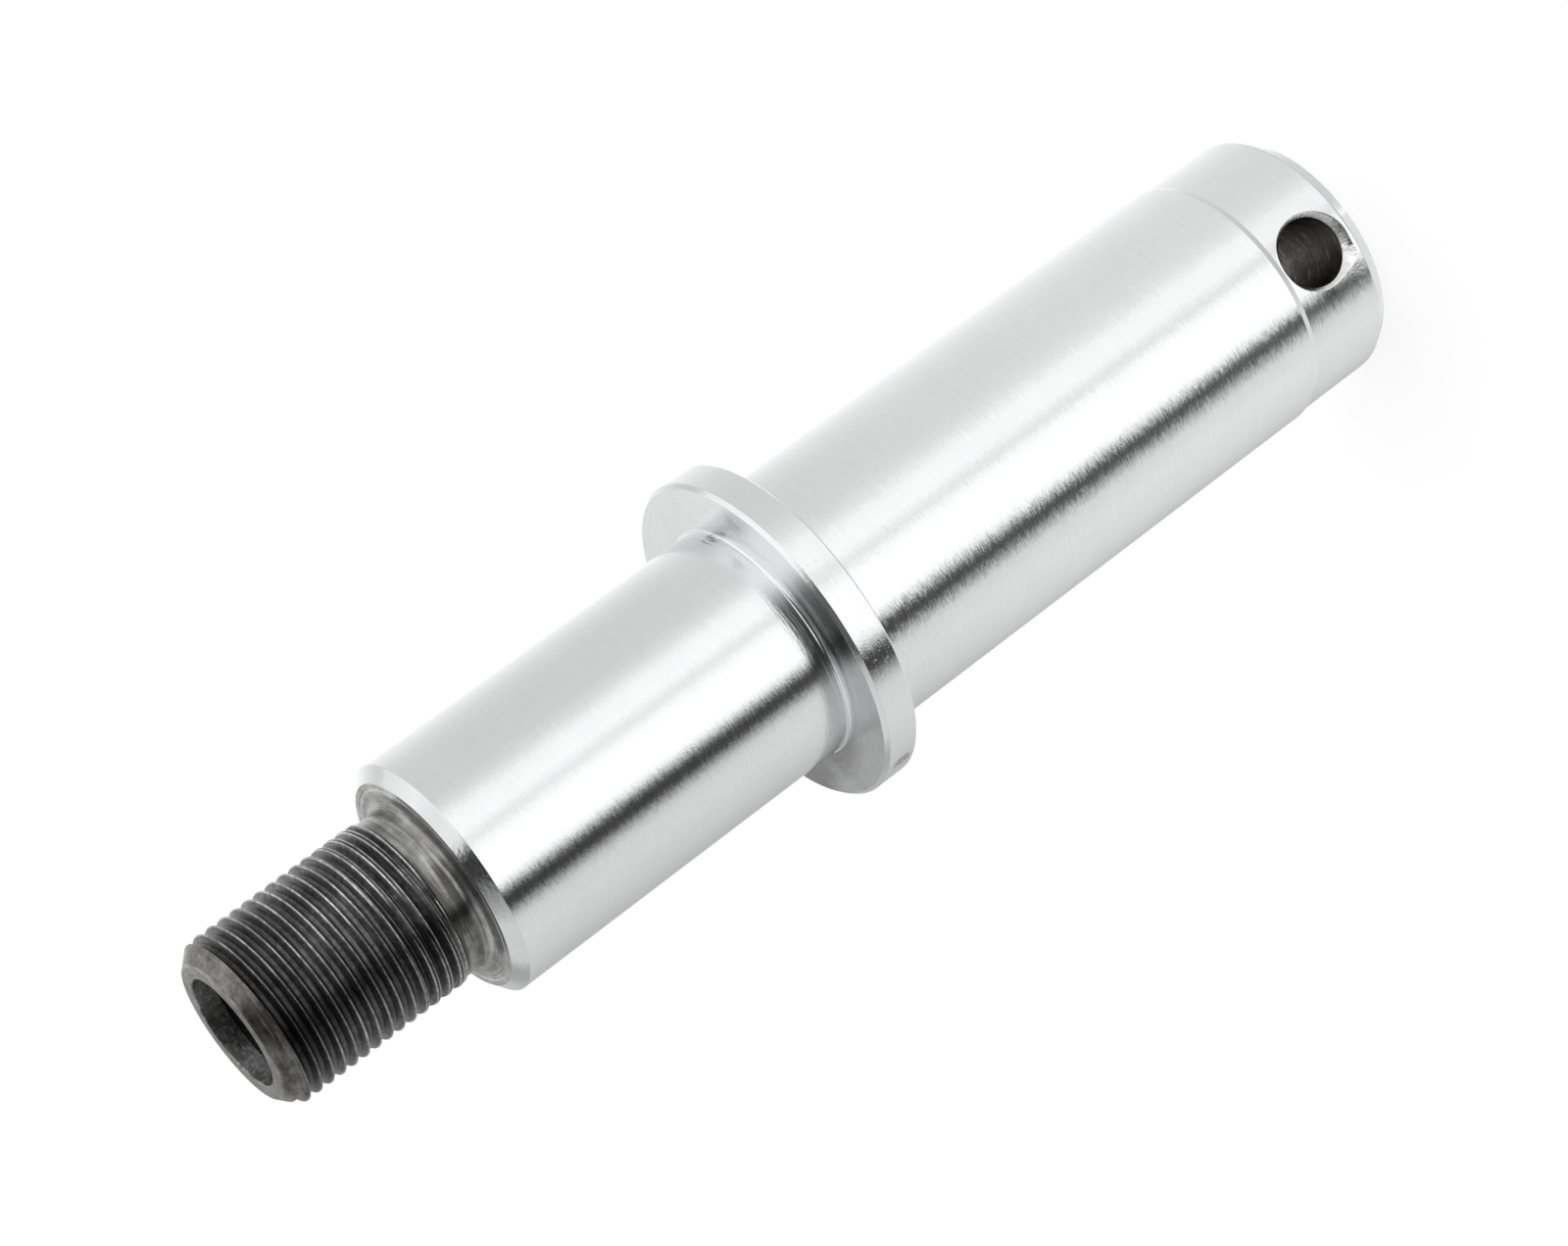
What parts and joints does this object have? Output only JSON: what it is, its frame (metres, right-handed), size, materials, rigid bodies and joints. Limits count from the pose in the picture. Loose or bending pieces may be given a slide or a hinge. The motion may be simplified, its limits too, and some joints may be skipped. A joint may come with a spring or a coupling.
{
  "type": "brake shoe pin",
  "caption": "Stepped steel pin with a thin flange between two ground journals, a cross-drilled plain head, and a dark fine-threaded end with a drilled face.",
  "frame": {"origin": "centre of the head's flat end face, on which the pin stands", "axes": "+Z along the pin towards its threaded end; Y along the cross hole"},
  "size_m": [0.0396, 0.0394, 0.1525],
  "materials": {
    "steel": "bright ground and turned steel, with the thread and the neck behind it left dark"
  },
  "bodies": {
    "root": {"brake_shoe_pin": "steel"}
  },
  "joints": []
}
